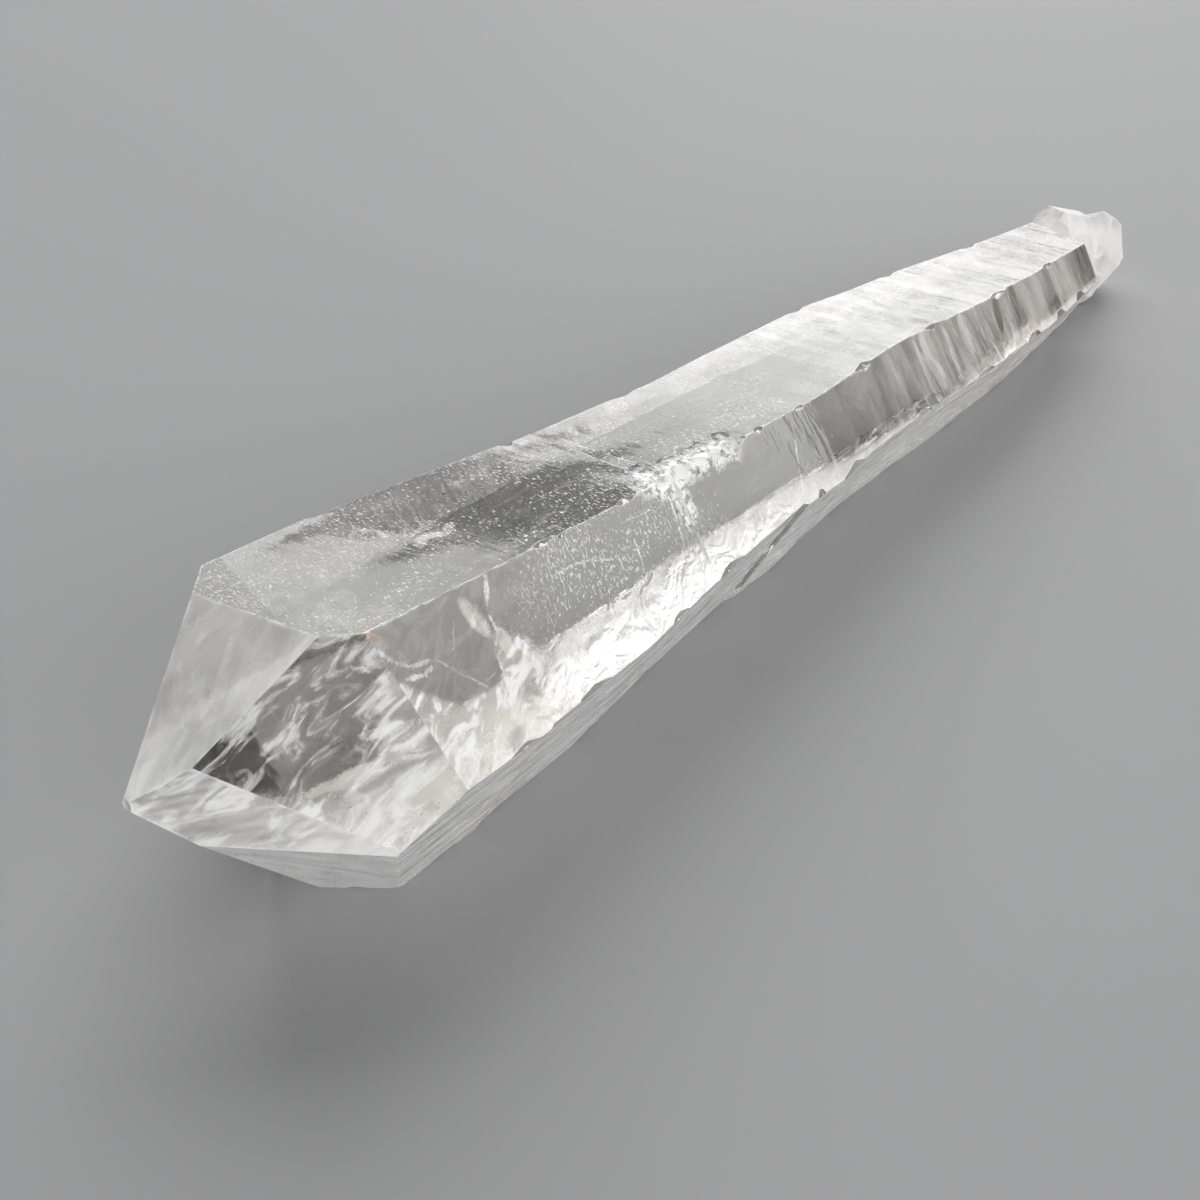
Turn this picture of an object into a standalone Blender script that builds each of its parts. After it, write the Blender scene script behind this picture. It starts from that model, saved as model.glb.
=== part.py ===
"""A clear quartz crystal that tapers to a point at each end, lying on one of its prism faces.

The long axis runs along X with the large point towards -X, and the face that the crystal rests on is at Z = 0.
The six prism faces keep fixed directions. Each face's distance from the crystal's spine changes along X in the
straight stretches and small ledges that the crystal grew in, so every stretch of face is flat. Planes cut the
points at both ends, shallow scoops are the chips, and small intergrown crystals make the cap at the small end.
The numbers below are in millimetres, and MM turns them into metres.
"""
import math

import bmesh
import bpy
from mathutils import Matrix, Vector
from mathutils.noise import noise

MM = 0.001

# The spine falls towards the small end, because the crystal rests on a face and not on its axis.
SPINE_HEIGHT_AT_ZERO = 10.46
SPINE_FALL = 0.0577
NEAR_BLANK_X = -14.0
FAR_BLANK_X = 106.5

# Prism faces in order round the spine, with the angle of each outward normal from +Y towards +Z in degrees.
FACE_ANGLES = {"top": 90, "front_upper": 150, "front_lower": 210, "base": 270, "back_lower": 330, "back_upper": 30}
FACE_ORDER = list(FACE_ANGLES)

# Each face's distance from the spine: (x, distance). Two rows close together are a growth ledge.
FACE_DISTANCES = {
    "top": [(NEAR_BLANK_X, 11.27), (28.9, 8.80), (29.2, 8.70), (58.6, 7.07), (FAR_BLANK_X, 4.34)],
    "front_upper": [
        (NEAR_BLANK_X, 9.90), (3.4, 9.92), (10.8, 9.80), (22.8, 9.52), (30.2, 9.26), (30.9, 8.94),
        (36.7, 8.90), (48.1, 8.53), (56.7, 7.62), (60.4, 7.14), (64.9, 6.86), (77.5, 6.79), (81.2, 6.62),
        (81.7, 6.44), (87.4, 6.26), (93.0, 5.82), (FAR_BLANK_X, 5.05),
    ],
    "front_lower": [
        (NEAR_BLANK_X, 8.95), (11.7, 8.64), (12.1, 8.46), (22.2, 8.06), (28.6, 7.32), (35.4, 6.65), (42.4, 6.13),
        (43.0, 6.34), (48.7, 6.27), (53.1, 5.67), (61.1, 5.27), (77.1, 5.29), (77.6, 5.16), (86.6, 5.00),
        (98.3, 4.00), (FAR_BLANK_X, 3.27),
    ],
    "base": [(NEAR_BLANK_X, 11.268), (FAR_BLANK_X, 4.315)],
    "back_lower": [
        (NEAR_BLANK_X, 13.20), (12.0, 12.75), (22.0, 12.42), (30.0, 11.98), (30.5, 11.86), (35.0, 11.70),
        (41.0, 11.15), (54.0, 10.05), (60.0, 9.32), (60.6, 9.38), (65.0, 8.70), (70.0, 8.00), (75.0, 7.25),
        (79.0, 7.00), (93.0, 6.80), (FAR_BLANK_X, 6.10),
    ],
    "back_upper": [
        (NEAR_BLANK_X, 10.80), (9.4, 10.38), (13.3, 10.01), (26.1, 8.83), (26.8, 8.62), (36.3, 8.19), (41.9, 7.89),
        (48.8, 8.03), (63.8, 8.06), (70.7, 7.37), (78.7, 6.86), (86.5, 5.99), (95.0, 5.16), (FAR_BLANK_X, 4.30),
    ],
}

# The faces of the large point: an outward normal, and a point that the plane passes through.
LARGE_POINT = {
    "over_top": ((-0.610, -0.108, 0.785), (-0.68, 4.14, 21.00)),
    "over_front_upper": ((-0.524, -0.777, 0.348), (-6.73, -1.49, 15.53)),
    "over_front_lower_rim": ((-0.688, -0.717, 0.108), (-6.73, -1.49, 15.53)),
    "over_front_lower": ((-0.638, -0.468, -0.611), (1.94, -0.34, 0.0)),
    "over_base": ((-0.759, 0.007, -0.651), (-9.70, 1.06, 13.57)),
    "over_back_lower": ((-0.618, 0.681, -0.393), (-9.46, 1.25, 13.34)),
    "over_back_upper": ((-0.563, 0.737, 0.375), (-9.70, 1.06, 13.57)),
}
# The small point is mostly hidden in the cap.
SMALL_POINT = {
    "over_top": ((0.70, 0.05, 0.71), (102.0, 0.0, 9.17)),
    "over_front_upper": ((0.93, -0.33, 0.17), (99.3, -3.3, 8.2)),
    "over_front_lower": ((0.76, -0.60, -0.25), (105.5, -1.3, 0.6)),
    "over_back_lower": ((0.80, 0.55, -0.20), (103.5, 3.0, 2.5)),
    "over_back_upper": ((0.75, 0.58, 0.32), (101.9, 2.4, 9.1)),
}

# Chips: scoops along an edge between two prism faces, (x, radius, depth, length along x as a share of the radius).
EDGE_CHIPS = {
    ("top", "front_upper"): [
        (17.6, 1.3, 0.16, 1.9), (25.8, 1.1, 0.14, 2.2), (29.9, 1.9, 0.42, 1.0), (31.9, 2.2, 0.50, 0.9),
        (33.9, 1.5, 0.34, 0.9), (35.6, 1.2, 0.42, 0.7), (37.9, 2.6, 0.46, 1.1), (40.9, 0.9, 0.22, 1.0),
        (46.5, 1.2, 0.14, 1.8), (57.5, 1.8, 0.22, 1.9), (69.0, 1.5, 0.16, 2.4), (80.0, 1.4, 0.20, 2.0),
        (90.5, 1.2, 0.20, 1.6),
    ],
    ("front_upper", "front_lower"): [
        (9.5, 1.4, 0.20, 2.0), (16.5, 1.8, 0.24, 2.2), (26.0, 1.2, 0.22, 1.6), (33.0, 1.8, 0.28, 2.0),
        (44.8, 1.1, 0.34, 0.7), (51.0, 1.9, 0.26, 2.2), (63.0, 1.5, 0.26, 1.8), (73.5, 1.4, 0.22, 2.4),
        (83.5, 1.7, 0.34, 1.5), (89.5, 1.5, 0.40, 1.2), (94.5, 1.6, 0.44, 1.1),
    ],
    ("front_lower", "base"): [
        (8.5, 1.9, 0.34, 1.5), (15.0, 2.3, 0.36, 1.9), (23.5, 1.8, 0.40, 1.5), (31.5, 2.4, 0.42, 1.9),
        (40.5, 2.0, 0.44, 1.5), (49.5, 2.3, 0.36, 2.0), (58.5, 1.8, 0.36, 1.8), (67.0, 2.2, 0.32, 2.1),
        (76.5, 1.9, 0.36, 1.7), (85.5, 2.1, 0.38, 1.6), (93.0, 1.6, 0.34, 1.4), (99.0, 1.5, 0.32, 1.3),
    ],
    ("base", "back_lower"): [
        (18.0, 2.0, 0.34, 1.8), (37.0, 1.8, 0.30, 2.0), (55.0, 2.1, 0.36, 1.6), (74.0, 1.7, 0.30, 2.0),
        (92.0, 1.6, 0.32, 1.5),
    ],
    ("back_lower", "back_upper"): [
        (12.0, 1.5, 0.22, 2.0), (29.0, 1.7, 0.30, 1.5), (46.0, 1.4, 0.22, 2.2), (66.0, 1.8, 0.30, 1.8),
        (86.0, 1.5, 0.30, 1.5),
    ],
    ("back_upper", "top"): [
        (11.4, 1.2, 0.14, 2.0), (26.6, 1.0, 0.26, 0.9), (39.5, 1.3, 0.14, 2.4), (63.5, 1.4, 0.18, 2.2),
        (77.0, 1.2, 0.16, 2.0), (90.0, 1.3, 0.20, 1.8),
    ],
}
# Deeper dents away from the prism edges: (centre, radii, turn about X in degrees).
DENTS = [
    ((3.1, -2.2, -0.75), (1.1, 0.9, 1.15), 0),
    ((4.4, -4.6, -0.55), (1.0, 0.9, 1.00), 0),
    ((-9.95, 1.05, 13.50), (0.75, 0.75, 0.75), 0),
]
SCOOP_SUBDIVISIONS = 2

# The cap's small crystals: (centre, half sizes, turn about Z in degrees, seed).
CAP_KNOBS = [
    ((104.6, 0.8, 6.0), (4.6, 3.5, 4.1), 12, 6),
    ((109.0, -0.1, 4.0), (4.8, 3.0, 4.1), -8, 8),
    ((101.6, -1.2, 3.2), (2.9, 1.6, 3.0), 20, 5),
    ((105.4, -0.8, 2.6), (3.8, 1.6, 2.6), -12, 11),
    ((104.6, 2.4, 3.6), (4.4, 2.9, 3.6), 18, 14),
    ((102.6, -1.3, 7.0), (1.9, 1.6, 1.6), -30, 21),
]
KNOB_FACETS = 15
KNOB_ROUGHNESS = 0.10

CLEAR_QUARTZ = (0.86, 0.88, 0.88, 1.0)
QUARTZ_IOR = 1.544
QUARTZ_ROUGHNESS = 0.06


def clear_scene():
    """Remove every object that the file opens with."""
    for item in list(bpy.data.objects):
        bpy.data.objects.remove(item, do_unlink=True)


def new_collection(name):
    """A collection of this name, linked into the scene."""
    collection = bpy.data.collections.new(name)
    bpy.context.scene.collection.children.link(collection)
    return collection


def quartz_material():
    """Clear quartz: transparent, with the mineral's own refractive index."""
    material = bpy.data.materials.new("clear_quartz")
    material.use_nodes = True
    shader = material.node_tree.nodes["Principled BSDF"]
    shader.inputs["Base Color"].default_value = CLEAR_QUARTZ
    shader.inputs["Metallic"].default_value = 0.0
    shader.inputs["Roughness"].default_value = QUARTZ_ROUGHNESS
    shader.inputs["IOR"].default_value = QUARTZ_IOR
    shader.inputs["Transmission Weight"].default_value = 1.0
    return material


def spine_height(x):
    """Height of the spine over the floor at x."""
    return SPINE_HEIGHT_AT_ZERO - SPINE_FALL * x


def face_distance(face, x):
    """Distance of a prism face from the spine at x, straight between the rows of its table."""
    rows = FACE_DISTANCES[face]
    for (x_a, distance_a), (x_b, distance_b) in zip(rows, rows[1:]):
        if x <= x_b:
            share = (x - x_a) / (x_b - x_a)
            return distance_a + (distance_b - distance_a) * share
    return rows[-1][1]


def face_normal(face):
    """Outward normal of a prism face."""
    angle = math.radians(FACE_ANGLES[face])
    return Vector((0.0, math.cos(angle), math.sin(angle)))


def edge_point(face_a, face_b, x):
    """The point at x where two neighbouring prism faces meet."""
    a = face_normal(face_a)
    b = face_normal(face_b)
    distance_a = face_distance(face_a, x)
    distance_b = face_distance(face_b, x)
    span = a.y * b.z - a.z * b.y
    y = (distance_a * b.z - distance_b * a.z) / span
    z = (distance_b * a.y - distance_a * b.y) / span
    return Vector((x, y, z + spine_height(x)))


def section(x):
    """The six corners of the crystal at x, in the order of FACE_ORDER."""
    following = FACE_ORDER[1:] + FACE_ORDER[:1]
    return [edge_point(a, b, x) for a, b in zip(FACE_ORDER, following)]


def prism_mesh():
    """The loft through every place where a face's distance turns, before the points are cut."""
    stations = sorted({x for rows in FACE_DISTANCES.values() for x, _ in rows})
    mesh = bmesh.new()
    rings = [[mesh.verts.new(corner * MM) for corner in section(x)] for x in stations]
    for ring_a, ring_b in zip(rings, rings[1:]):
        for i in range(len(FACE_ORDER)):
            j = (i + 1) % len(FACE_ORDER)
            mesh.faces.new((ring_a[i], ring_a[j], ring_b[j], ring_b[i]))
    mesh.faces.new(reversed(rings[0]))
    mesh.faces.new(rings[-1])
    bmesh.ops.recalc_face_normals(mesh, faces=mesh.faces)
    return mesh


def cut_away(mesh, point, normal):
    """Cut off what lies beyond a plane, and close the cut with a flat face."""
    geometry = mesh.verts[:] + mesh.edges[:] + mesh.faces[:]
    cut = bmesh.ops.bisect_plane(mesh, geom=geometry, plane_co=point, plane_no=normal, dist=1e-8, clear_outer=True)
    rim = [item for item in cut["geom_cut"] if isinstance(item, bmesh.types.BMEdge)]
    if rim:
        bmesh.ops.edgeloop_fill(mesh, edges=rim)


def object_from(mesh, name, collection):
    """A named object that takes over a bmesh."""
    data = bpy.data.meshes.new(name)
    bmesh.ops.recalc_face_normals(mesh, faces=mesh.faces)
    mesh.to_mesh(data)
    mesh.free()
    item = bpy.data.objects.new(name, data)
    collection.objects.link(item)
    return item


def crystal_body(collection):
    """The prism with the large point and the small point cut on it."""
    mesh = prism_mesh()
    for normal, point in list(LARGE_POINT.values()) + list(SMALL_POINT.values()):
        cut_away(mesh, Vector(point) * MM, Vector(normal).normalized())
    return object_from(mesh, "quartz_crystal", collection)


def add_guide(mesh, name, collection):
    """A solid that is only joined to the crystal or cut from it."""
    guide = object_from(mesh, name, collection)
    guide.hide_render = True
    guide.display_type = "WIRE"
    return guide


def scoop_mesh(centre, radii, turn):
    """A ball stretched to three radii and turned about X, for a shell-shaped break."""
    mesh = bmesh.new()
    bmesh.ops.create_icosphere(mesh, subdivisions=SCOOP_SUBDIVISIONS, radius=1.0)
    placed = Matrix.Translation(Vector(centre) * MM) @ Matrix.Rotation(math.radians(turn), 4, "X")
    placed @= Matrix.Diagonal((radii[0] * MM, radii[1] * MM, radii[2] * MM, 1.0))
    bmesh.ops.transform(mesh, matrix=placed, verts=mesh.verts)
    return mesh


def add_chips(collection):
    """The scoops that chip the prism edges, and the deeper dents."""
    count = 0
    for (face_a, face_b), chips in EDGE_CHIPS.items():
        outward = (face_normal(face_a) + face_normal(face_b)).normalized()
        for x, radius, depth, stretch in chips:
            centre = edge_point(face_a, face_b, x) + outward * (radius - depth)
            count += 1
            turn = 7 * count
            add_guide(scoop_mesh(centre, (radius * stretch, radius, radius), turn), f"chip_{count:02d}", collection)
    for number, (centre, radii, turn) in enumerate(DENTS, 1):
        add_guide(scoop_mesh(centre, radii, turn), f"dent_{number}", collection)


def knob_mesh(centre, half_sizes, turn, seed):
    """A small blunt crystal of the cap: a rough ball with flat facets cut all round it."""
    mesh = bmesh.new()
    bmesh.ops.create_icosphere(mesh, subdivisions=3, radius=1.0)
    for vertex in mesh.verts:
        vertex.co *= 1.08 + KNOB_ROUGHNESS * noise(vertex.co * 2.1 + Vector((seed, 0.0, 0.0)))
    golden_turn = math.pi * (3 - math.sqrt(5))
    for number in range(KNOB_FACETS):
        height = 1 - 2 * (number + 0.5) / KNOB_FACETS
        angle = number * golden_turn + seed
        ring = math.sqrt(1 - height * height)
        direction = Vector((ring * math.cos(angle), ring * math.sin(angle), height))
        reach = 0.86 + 0.07 * math.sin(seed + 2.4 * number)
        cut_away(mesh, direction * reach, direction)
    placed = Matrix.Translation(Vector(centre) * MM) @ Matrix.Rotation(math.radians(turn), 4, "Z")
    placed @= Matrix.Diagonal([size * MM for size in half_sizes] + [1.0])
    bmesh.ops.transform(mesh, matrix=placed, verts=mesh.verts)
    cut_away(mesh, Vector((0.0, 0.0, 0.0)), Vector((0.0, 0.0, -1.0)))
    return mesh


def add_growths(collection):
    """The small crystals of the cap."""
    for number, knob in enumerate(CAP_KNOBS, 1):
        add_guide(knob_mesh(*knob), f"cap_knob_{number}", collection)


def add_boolean(item, operation, collection):
    """A Boolean between the crystal and everything in a collection."""
    modifier = item.modifiers.new(collection.name, "BOOLEAN")
    modifier.operation = operation
    modifier.solver = "EXACT"
    modifier.operand_type = "COLLECTION"
    modifier.collection = collection


def set_origin(item, guides):
    """Move everything so that the origin is under the middle of the crystal's box, on its base."""
    bpy.context.view_layer.update()
    shaped = item.evaluated_get(bpy.context.evaluated_depsgraph_get())
    corners = [Vector(corner) for corner in shaped.bound_box]
    low = [min(corner[i] for corner in corners) for i in range(3)]
    high = [max(corner[i] for corner in corners) for i in range(3)]
    shift = Vector((-(low[0] + high[0]) / 2, -(low[1] + high[1]) / 2, -low[2]))
    for moved in [item] + guides:
        moved.location = shift


def main():
    clear_scene()
    crystal_parts = new_collection("double_terminated_quartz_crystal")
    growths = new_collection("growths")
    cutters = new_collection("cutters")
    crystal = crystal_body(crystal_parts)
    crystal.data.materials.append(quartz_material())
    add_growths(growths)
    add_chips(cutters)
    add_boolean(crystal, "UNION", growths)
    add_boolean(crystal, "DIFFERENCE", cutters)
    set_origin(crystal, list(growths.objects) + list(cutters.objects))


main()
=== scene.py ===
"""The looks of the quartz crystal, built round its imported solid.

The crystal's surface is the solid's own mesh, cut finer and given growth relief. The cracks, veils and stains are
thin sheets inside it. The frame's axes are used throughout: X along the crystal, Z up, metres.
"""
import math

import bmesh
import bpy
import numpy as np
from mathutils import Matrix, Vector
from mathutils.bvhtree import BVHTree
from mathutils.kdtree import KDTree


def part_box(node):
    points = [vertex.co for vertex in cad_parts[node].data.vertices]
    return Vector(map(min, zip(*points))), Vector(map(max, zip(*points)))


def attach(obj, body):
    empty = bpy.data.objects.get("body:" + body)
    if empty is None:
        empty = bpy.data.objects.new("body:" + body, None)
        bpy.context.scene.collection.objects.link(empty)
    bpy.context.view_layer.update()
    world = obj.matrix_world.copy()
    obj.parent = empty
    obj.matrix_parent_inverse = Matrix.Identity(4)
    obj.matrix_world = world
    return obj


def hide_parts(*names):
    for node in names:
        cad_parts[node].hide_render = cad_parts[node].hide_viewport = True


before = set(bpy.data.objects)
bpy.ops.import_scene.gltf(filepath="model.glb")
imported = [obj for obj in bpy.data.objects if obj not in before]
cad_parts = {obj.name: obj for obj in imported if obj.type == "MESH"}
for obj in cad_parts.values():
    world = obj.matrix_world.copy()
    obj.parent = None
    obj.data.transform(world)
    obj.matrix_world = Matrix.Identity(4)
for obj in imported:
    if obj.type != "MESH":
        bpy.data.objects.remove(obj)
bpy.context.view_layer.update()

MM = 0.001
CRYSTAL_NODE = "quartz_crystal"
crystal_low, crystal_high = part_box(CRYSTAL_NODE)

# The camera of the photograph, fitted to the crystal's edges.
CAMERA_PLACE = Vector((-103.95, -63.83, 75.51)) * MM
CAMERA_PITCH = 34.17
CAMERA_HEADING = 37.33
IMAGE_PIXELS = 1200
FOCAL_PIXELS = 1804.2
SENSOR_WIDTH = 36.0

# Where x = 0 is for the feature tables below: the large point's shoulder.
TABLE_SHIFT = np.array([52.243, 1.329, 0.0])

# The growth faces: prism faces by the turn of their normals round X, point faces by the normals themselves.
PRISM_TURNS = {"top": 90, "front_upper": 150, "front_lower": 210, "base": 270, "back_lower": 330, "back_upper": 30}
POINT_NORMALS = {
    "over_top": (-0.610, -0.108, 0.785),
    "over_front_upper": (-0.524, -0.777, 0.348),
    "over_front_lower_rim": (-0.688, -0.717, 0.108),
    "over_front_lower": (-0.638, -0.468, -0.611),
    "over_base": (-0.759, 0.007, -0.651),
    "over_back_lower": (-0.618, 0.681, -0.393),
    "over_back_upper": (-0.563, 0.737, 0.375),
}
POINT_PLACES = {
    "over_front_upper": np.array([-6.73, -1.49, 15.53]),
    "over_front_lower": np.array([1.94, -0.34, 0.0]),
}
FACE_NAMES = list(PRISM_TURNS) + list(POINT_NORMALS) + ["chip", "cap"]
FACE_NUMBER = {name: number for number, name in enumerate(FACE_NAMES)}
CAP_START = 99.0
SAME_FACE = math.cos(math.radians(4.0))

# Cracks inside the crystal. Each is a curved sheet through three rows of points, in millimetres from the large
# point's shoulder: the first point of a row is just under the surface and the others lie deeper.
# Then come its ripple height, how solid it looks and its seed.
CRACKS = {
    "flake": ([(11.76, -6.06, 18.70), (11.22, -5.00, 18.05), (10.64, -3.72, 17.60)],
              [(11.15, -6.89, 17.33), (10.99, -5.59, 17.05), (10.40, -4.63, 16.77)],
              [(10.62, -7.57, 16.19), (10.66, -6.75, 15.97), (10.62, -5.87, 15.68)], 0.12, 1.00, 3),
    "wing": ([(11.46, -6.50, 17.96), (12.30, -5.93, 16.33), (13.24, -5.26, 14.72)],
             [(10.85, -7.46, 16.36), (12.66, -6.49, 14.43), (15.54, -5.56, 12.19)],
             [(10.42, -8.49, 14.62), (12.27, -7.29, 13.09), (15.29, -5.98, 11.49)], 0.18, 0.95, 7),
    "tail": ([(10.37, -8.25, 15.03), (11.72, -7.43, 13.79), (13.44, -6.53, 12.50)],
             [(10.14, -8.91, 13.91), (11.64, -8.20, 12.47), (13.68, -7.42, 10.94)],
             [(10.39, -9.55, 12.78), (11.34, -8.99, 12.03), (12.30, -8.48, 11.38)], 0.20, 0.90, 11),
    "sliver": ([(12.03, -5.71, 19.31), (12.45, -5.36, 18.91), (12.74, -5.10, 18.62)],
               [(11.48, -6.08, 18.73), (11.97, -5.74, 18.29), (12.33, -5.49, 17.97)],
               [(11.31, -6.49, 18.04), (11.58, -6.11, 17.69), (11.87, -5.85, 17.40)], 0.05, 1.00, 13),
    "cross_1": ([(29.38, -6.17, 16.55), (29.75, -5.85, 16.13), (30.15, -5.48, 15.67)],
                [(29.36, -7.09, 14.96), (30.04, -6.63, 14.39), (30.66, -6.23, 13.79)],
                [(29.31, -8.62, 12.32), (29.64, -8.37, 11.94), (30.03, -8.06, 11.57)], 0.22, 0.45, 17),
    "cross_2": ([(31.27, -6.86, 14.55), (30.97, -6.42, 14.15), (30.74, -6.21, 13.99)],
                [(30.86, -7.73, 13.09), (30.51, -7.20, 12.99), (30.39, -6.41, 12.65)],
                [(29.15, -8.73, 12.14), (29.24, -8.34, 12.06), (29.35, -7.90, 11.94)], 0.25, 0.50, 19),
    "cross_3": ([(44.35, -6.34, 14.12), (44.72, -6.10, 13.75), (45.17, -5.78, 13.39)],
                [(43.93, -7.39, 12.35), (44.44, -6.98, 11.91), (45.08, -6.55, 11.39)],
                [(42.76, -8.45, 10.54), (42.97, -8.15, 10.46), (43.23, -7.91, 9.93)], 0.22, 0.45, 23),
    "cross_4": ([(45.12, -7.78, 11.54), (45.50, -7.54, 11.15), (45.79, -7.25, 10.78)],
                [(44.56, -8.08, 11.09), (45.14, -7.76, 10.65), (45.50, -7.55, 10.28)],
                [(44.18, -8.44, 10.50), (44.49, -8.16, 10.21), (44.78, -7.90, 9.94)], 0.15, 0.45, 29),
    "curl": ([(3.52, -5.85, 19.81), (3.95, -5.75, 19.18), (4.47, -5.62, 18.46)],
             [(3.91, -6.60, 18.47), (4.58, -6.34, 17.93), (5.11, -6.03, 17.32)],
             [(4.29, -7.06, 17.65), (4.99, -6.69, 17.46), (6.22, -6.26, 17.19)], 0.12, 1.00, 31),
}

# Hairline cracks: a run of points just under the surface and the line's width.
HAIRLINES = [
    ([(5.97, -7.02, 17.66), (7.50, -7.83, 16.11), (8.98, -8.68, 14.51)], 0.05),
    ([(8.58, -6.38, 18.54), (8.09, -6.83, 17.79), (7.47, -7.26, 17.11)], 0.04),
    ([(16.95, -6.67, 17.18), (18.58, -6.66, 17.03), (20.22, -6.75, 16.72), (21.60, -6.91, 16.29)], 0.06),
    ([(24.75, -6.21, 17.12), (26.24, -6.19, 16.97), (27.92, -6.30, 16.56)], 0.05),
    ([(24.21, -7.25, 15.38), (24.23, -7.70, 14.59), (24.25, -8.09, 13.92)], 0.06),
]

# Milky veils: the face that the veil lies along, its middle, its half sizes along the crystal and across the face,
# how solid it is and its seed.
VEILS = [
    ("over_front_upper", (1.2, -4.8, 15.2), (6.0, 4.2), 0.55, 41),
    ("over_front_upper", (2.0, -4.4, 12.6), (6.5, 5.0), 0.60, 43),
    ("over_front_upper", (3.5, -3.5, 10.8), (6.5, 5.5), 0.65, 47),
    ("front_upper", (7.5, -6.8, 12.2), (5.5, 2.6), 0.60, 53),
    ("front_upper", (8.0, -4.0, 10.6), (6.5, 3.2), 0.60, 59),
    ("over_top", (-4.0, 1.0, 15.5), (4.0, 4.0), 0.35, 61),
    ("top", (13.5, 2.2, 18.7), (1.6, 1.3), 0.90, 67),
    ("top", (14.6, 0.6, 18.7), (1.2, 0.9), 0.80, 71),
    ("top", (8.0, 1.5, 17.6), (4.5, 3.0), 0.40, 73),
    ("top", (22.0, 3.0, 16.2), (9.0, 1.6), 0.35, 79),
    ("top", (70.0, 1.0, 11.0), (16.0, 2.2), 0.40, 83),
]
IRON_SPECK = (2.62, -5.20, 20.20)

# Cracks, flakes and cloudy spots that show at the surface, by face and kind: how wide and how strong each is, and the
# points that it runs through, as x and the distance across the face.
SURFACE_MARKS = {
    ("front_upper", "white"): [
        (0.36, 1.0, [(12.1, -13.95), (11.2, -12.42)]),
        (0.9, 0.95, [(11.26, -10.73), (11.38, -9.38)]),
        (0.6, 0.6, [(12.12, -9.78), (12.75, -8.47)]),
        (0.06, 0.6, [(6.07, -11.76), (7.67, -9.86), (8.88, -8.27)]),
        (0.12, 0.45, [(8.53, -12.85), (7.43, -11.32)]),
        (0.26, 0.9, [(2.86, -13.91), (3.53, -12.84), (4.31, -12.17), (5.81, -11.77)]),
        (0.28, 0.9, [(3.81, -11.67), (4.97, -11.3), (5.7, -11.43)]),
        (0.5, 0.8, [(2.54, -8.03), (3.27, -7.77)]),
        (0.4, 0.8, [(3.71, -7.25), (4.61, -7.17)]),
        (0.12, 0.9, [(29.38, -11.4), (29.07, -9.45), (28.82, -8.06)]),
        (0.14, 0.85, [(31.07, -9.19), (29.98, -7.52), (29.38, -6.61), (27.91, -5.77), (26.33, -5.66)]),
        (0.14, 0.8, [(24.67, -10.15), (24.5, -8.91), (24.28, -8.13)]),
        (0.08, 0.7, [(24.12, -11.71), (25.61, -11.46), (27.57, -11.16)]),
        (0.08, 0.8, [(16.94, -11.54), (18.74, -11.37), (20.23, -10.99), (22.3, -10.11)]),
        (0.12, 0.85, [(44.26, -9.02), (43.38, -6.93), (42.59, -4.74)]),
        (0.1, 0.7, [(15.05, -4.79), (16.54, -5.67), (18.09, -6.01), (21.49, -5.69)]),
        (0.1, 0.7, [(11.32, -4.85), (14.67, -4.86)]),
    ],
    ("front_upper", "tan"): [
        (1.0, 0.85, [(9.6, -13.41), (10.37, -11.19)]),
        (0.16, 0.9, [(11.05, -11.99), (11.13, -10.18), (10.31, -9.53), (10.2, -8.5), (9.95, -7.27), (10.34, -6.37)]),
        (0.8, 0.35, [(2.9, -14.4), (3.5, -13.9)]),
    ],
    ("over_front_upper", "white"): [
        (0.26, 0.9, [(1.47, -15.11), (2.19, -14.48)]),
        (0.6, 1.0, [(0.69, -11.35), (1.47, -11.16)]),
        (0.5, 1.0, [(1.79, -11.11), (2.54, -11.12)]),
        (0.55, 0.9, [(-2.6, -9.6), (-1.0, -9.55)]),
        (1.1, 0.9, [(-1.0, -9.45), (0.75, -9.35)]),
    ],
    ("front_upper", "dark"): [
        (0.34, 0.7, [(26.5, -5.93), (25.08, -5.07)]),
        (1.0, 0.8, [(78.81, -8.12), (78.17, -5.32)]),
        (1.2, 0.8, [(82.31, -7.75), (81.42, -4.45)]),
    ],
    ("top", "white"): [
        (0.7, 0.5, [(11.9, 0.9), (13.0, 0.2), (14.3, 0.8), (15.2, 0.3)]),
        (0.45, 0.4, [(12.6, -0.4), (14.1, -0.55)]),
        (0.45, 0.4, [(10.9, -3.0), (11.6, -2.2), (11.4, -1.2)]),
        (0.14, 0.7, [(29.69, -2.89), (30.08, 0.13), (30.52, 4.64)]),
    ],
    ("top", "brown"): [
        (0.42, 0.9, [(2.6, 4.95), (3.0, 5.05)]),
    ],
    ("front_upper", "brown"): [
        (0.45, 0.9, [(2.75, -14.75), (3.1, -14.45)]),
    ],
}

# Where the milky zone at the large end begins on two faces, as x and the distance across the face.
# Along the front upper face the milky zone is also a painted highlight: the bright band of reflected light.
MILKY_AND_BRIGHT_BAND_FROM = {
    "front_upper": [(2.45, -12.7), (3.0, -12.1), (3.9, -11.0), (5.3, -9.7), (6.7, -8.5), (8.6, -8.45), (10.0, -8.4),
                    (10.6, -10.6), (12.6, -10.0), (13.7, -8.6), (19.3, -8.0), (24.5, -8.2), (30.5, -7.6),
                    (35.2, -6.9), (40.6, -6.9), (45.7, -6.1), (51.4, -5.1), (59.8, -4.4), (67.6, -3.3), (74.1, -3.0),
                    (89.6, -3.2)],
    "over_front_upper": [(-6.7, -13.6), (-6.1, -12.3), (-4.9, -11.0), (-2.9, -9.7), (-0.9, -9.9), (1.0, -10.1),
                         (1.7, -12.4), (2.6, -14.0), (4.3, -14.0)],
}

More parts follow.
